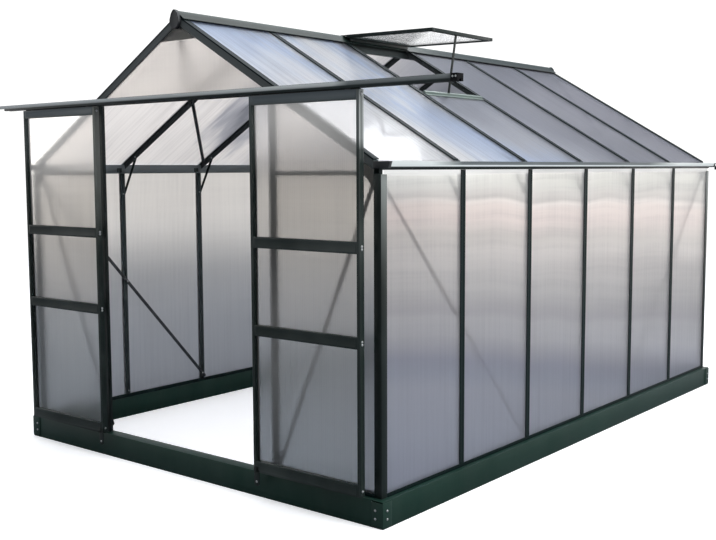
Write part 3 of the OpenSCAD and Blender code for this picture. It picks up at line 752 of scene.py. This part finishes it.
rail_paint = powder_coat("rail_paint", (0.010, 0.017, 0.017), 0.05, pale=[
    (leaning_face, (0.085, 0.097, 0.10)), (lit_face, (0.30, 0.32, 0.32)),
])


def cut_off(x, away):
    """In edit mode, cuts a piece at x, closes the cut and drops what lies beyond it."""
    bpy.ops.mesh.select_all(action="SELECT")
    bpy.ops.mesh.bisect(plane_co=(x, 0, 0), plane_no=(away, 0, 0), use_fill=True, clear_outer=True)


block_l = 0.031
rail = formed("door_rail", rail_paint, 0.0007)
only(rail)
bpy.ops.object.mode_set(mode="EDIT")
cut_off(rail_high.x - block_l, 1)
bpy.ops.object.mode_set(mode="OBJECT")
formed("rail_fittings", end_plastic, 0.0008)

# The stop block is drawn over long, slotted underneath and cut at both ends
middle = (rail_low + rail_high) / 2
over = 0.04
stop = block_of((block_l + over, rail_high.y - rail_low.y, rail_high.z - rail_low.z),
                (rail_high.x - block_l / 2, middle.y, middle.z))
stop.name = "rail_stop_block"
pick(stop, lambda face: face.normal.z < -0.9)
bpy.ops.mesh.inset(thickness=0.015)
bpy.ops.mesh.extrude_region_move(TRANSFORM_OT_translate={"value": (0, 0, 0.010)})
cut_off(rail_high.x - block_l + 0.0002, -1)
cut_off(rail_high.x, 1)
pick(stop, lambda face: face.normal.y < -0.9 and face.center.y < middle.y - 0.01)
bpy.ops.mesh.inset(thickness=0.003)
bpy.ops.mesh.inset(thickness=0.001, depth=-0.0012)
bpy.ops.object.mode_set(mode="OBJECT")
round_edges(stop, 0.002, 3)
stop.data.materials.append(moulded_plastic("stop_plastic", (0.003, 0.003, 0.004), 0.6, 0.1))
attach(stop, "house")
stop_bolts = [((rail_high.x - back, rail_low.y + 0.0042, middle.z + 0.003), (0, -1, 0))
              for back in (0.008, 0.022)]
set_out(bolt, "rail_stop_bolts", stop_bolts, bolt_zinc)


# ------------------------------------------------------------------ door leaves
# Two leaves of green stiles and cross rails with three panels each, screwed through the
# stiles. Black wheels carry them in the rail, a flange on each reaches up into the rail's
# slot, and a plate under the inner corner guides them.
left_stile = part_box("left_door_stiles")[1].x - 0.017
right_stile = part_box("right_door_stiles")[1].x - 0.017
head_from, top_rail_from, stile_glare_from = 1.50, 1.80, 1.60


def left_glare(x, y, z):
    """The left leaf's meeting stile, which light from the doorway whitens upwards."""
    on_stile = past(x, left_stile, 300).held() * (x * -20).held()
    return on_stile * past(z, 1.12, 1.7).held()


def right_glare(edge, rate):
    """A share of the right leaf's outer stile beyond an edge, on its upper part."""
    return lambda x, y, z: past(x, edge, rate).held() * past(z, stile_glare_from, 20).held()


# The leaves are painted lighter towards their heads and on their top rails, and their stiles carry
# painted glare: painted light from the sky and the doorway.
leaf_paint = powder_coat("leaf_paint", (0.008, 0.017, 0.0145), 0.06, pale=[
    (lambda x, y, z: past(z, head_from, 2), (0.06, 0.078, 0.076)),
    (lambda x, y, z: past(z, top_rail_from, 40), (0.085, 0.105, 0.115)),
    (left_glare, (0.15, 0.155, 0.135)),
    (right_glare(right_stile, 300), (0.11, 0.125, 0.12)),
    (right_glare(right_stile + 0.016, 900), (0.36, 0.38, 0.37)),
])
wheel_plastic = moulded_plastic("wheel_plastic", (0.016, 0.016, 0.017), 0.3)


def round_corners(piece, wanted, radius, steps):
    """In edit mode, rounds the edges for which wanted is true of their two ends."""
    bpy.ops.mesh.select_mode(type="EDGE")
    bpy.ops.mesh.select_all(action="DESELECT")
    bpy.ops.object.mode_set(mode="OBJECT")
    for edge in piece.data.edges:
        edge.select = wanted(*[piece.data.vertices[v].co for v in edge.vertices])
    bpy.ops.object.mode_set(mode="EDIT")
    bpy.ops.mesh.bevel(offset=radius, segments=steps)
    bpy.ops.object.mode_set(mode="OBJECT")


# The guide plate is drawn flat, with its lower corners cut and rounded
guide_w, guide_h, guide_t = 0.034, 0.090, 0.003
guide = block_of((guide_w, guide_h, guide_t), (0, 0, guide_t / 2))
round_corners(guide, lambda a, b: abs(a.z - b.z) > 0.001 and a.y < 0, 0.012, 5)
round_edges(guide, 0.0006)

# The flange that stands on a leaf's top rail and reaches into the slot of the door rail
leaf_low, leaf_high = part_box("right_door_stiles")
hang_y = (leaf_low.y + leaf_high.y) / 2
flange_t, flange_h = 0.003, 0.011
flange = block_of((leaf_high.x - leaf_low.x - 0.006, flange_t, flange_h),
                  (0, hang_y, leaf_high.z + 0.0045))
upper_half = leaf_high.z + 0.005
round_corners(flange, lambda a, b: abs(a.y - b.y) > 0.001 and min(a.z, b.z) > upper_half, 0.006, 4)
round_edges(flange, 0.0005)

as_drawn = [((0, 0, 0), (0, 0, 1))]
screw_heights = (0.162, 0.79, 0.802, 1.19, 1.202, 1.826)
guide_z, guide_bolt_z = 0.118, 0.092
stood_up = Matrix.Rotation(math.radians(90), 4, "X")
for side, sign in (("left", -1), ("right", 1)):
    body = side + "_door"
    stile_channels = [((0, -1, 0), 0.02, 0.0045, channel_depth)]
    stile_channels += [((way, 0, 0), 0.02, 0.008, channel_depth) for way in (sign, -sign)]
    formed(body + "_stiles", leaf_paint, 0.001, stile_channels, body)
    formed(body + "_rails", leaf_paint, 0.001,
           [((0, -1, 0), 0.02, 0.010, channel_depth)], body)
    formed(body + "_rollers", wheel_plastic, 0.0006, (), body)
    low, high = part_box(body + "_stiles")
    screws = []
    for z in screw_heights:
        screws.append(((high.x, hang_y, z), (1, 0, 0)))
        if side == "left":
            screws.append(((low.x, hang_y, z), (-1, 0, 0)))
    set_out(bolt, body + "_screws", screws, bolt_zinc, body)
    hanger = set_out(flange, body + "_flange", as_drawn, shade_paint, body)
    hanger.data.transform(Matrix.Translation(((low.x + high.x) / 2, 0, 0)))
    inner_x = low.x if sign > 0 else high.x
    plate_x = inner_x + sign * 0.018
    made = set_out(guide, body + "_guide", as_drawn, shade_paint, body)
    made.data.transform(Matrix.Translation((plate_x, low.y + guide_t, guide_z)) @ stood_up)
    guide_bolt = [((plate_x, low.y + 0.0005, guide_bolt_z), (0, -1, 0))]
    set_out(bolt, body + "_guide_bolt", guide_bolt, bolt_zinc, body)
for pattern in (bolt, cleat, guide, flange):
    bpy.data.objects.remove(pattern)


# ------------------------------------------------------------------ studio
# A pale floor that reaches far out, a soft bright surround, two big soft lamps and a
# small one over the rear of the roof.
bpy.ops.object.select_all(action="DESELECT")
bpy.ops.mesh.primitive_plane_add(size=28, location=(0, 0, 0))
floor = bpy.context.object
floor.name = "floor"
paper, place, _ = new_material("floor_paper")
seen = place.node("ShaderNodeLightPath", {}, {}, "Is Camera Ray")
grey = place.node("ShaderNodeBsdfDiffuse", {}, {"Color": (0.235, 0.25, 0.27, 1)})
white = place.node("ShaderNodeBsdfDiffuse", {}, {"Color": (0.95, 0.95, 0.95, 1)})
glow = place.node("ShaderNodeEmission", {}, {"Color": (1, 1, 1, 1), "Strength": 0.36})
bright = place.node("ShaderNodeAddShader", {}, {0: white, 1: glow})
ground = place.node("ShaderNodeMixShader", {}, {0: seen, 1: grey, 2: bright})
ground.node("ShaderNodeOutputMaterial", {"is_active_output": True}, {"Surface": ground})
floor.data.materials.append(paper)

world = bpy.data.worlds.new("studio")
bpy.context.scene.world = world
world.use_nodes = True
world.node_tree.nodes.clear()
air = Wire(world.node_tree)
east, north, up = air.node("ShaderNodeTexCoord", {}, {}, "Generated").parts()
behind = (north * 0.82 - east * 0.57) * 0.5 + 0.5
sky = air.node("ShaderNodeValToRGB", {"stops": [
    (0.0, (1.34, 1.31, 1.27)), (0.14, (1.36, 1.34, 1.31)), (0.24, (0.50, 0.51, 0.55)),
    (0.40, (0.42, 0.44, 0.50)), (0.54, (0.80, 0.88, 1.0)), (1.0, (1.0, 1.0, 1.0)),
]}, {0: up.held()})
dimmed = air.node("ShaderNodeValToRGB", {"stops": [
    (0.0, (0.24, 0.25, 0.26)), (0.5, (0.60, 0.60, 0.60)), (0.85, (1.0, 1.0, 1.0)),
]}, {0: (behind + up.held() * 0.45).held()})
soft = air.node("ShaderNodeMix", {"data_type": "RGBA", "blend_type": "MULTIPLY"},
                {"Factor": 1.0, 6: sky, 7: dimmed}, 2)
seen = air.node("ShaderNodeLightPath", {}, {}, "Is Camera Ray")
backdrop = air.node("ShaderNodeBackground", {},
                    {"Color": blend(seen, soft, (1, 1, 1)), "Strength": 1.15})
air.node("ShaderNodeOutputWorld", {"is_active_output": True}, {"Surface": backdrop})

aim = Vector((0, 1.8, 0.8))
for name, spot, size, power in (("key", (7, 1.5, 5), 6, 400), ("top", (0, 2, 7), 8, 300),
                                ("window", (-0.05, 3.3, 3.65), 0.6, 6)):
    lamp = bpy.data.objects.new(name, bpy.data.lights.new(name, "AREA"))
    lamp.data.shape = "DISK"
    lamp.data.size = size
    lamp.data.energy = power
    lamp.location = spot
    lamp.visible_camera = False
    lamp.rotation_euler = (aim - Vector(spot)).to_track_quat("-Z", "Y").to_euler()
    bpy.context.scene.collection.objects.link(lamp)

bpy.context.scene.view_settings.view_transform = "Standard"
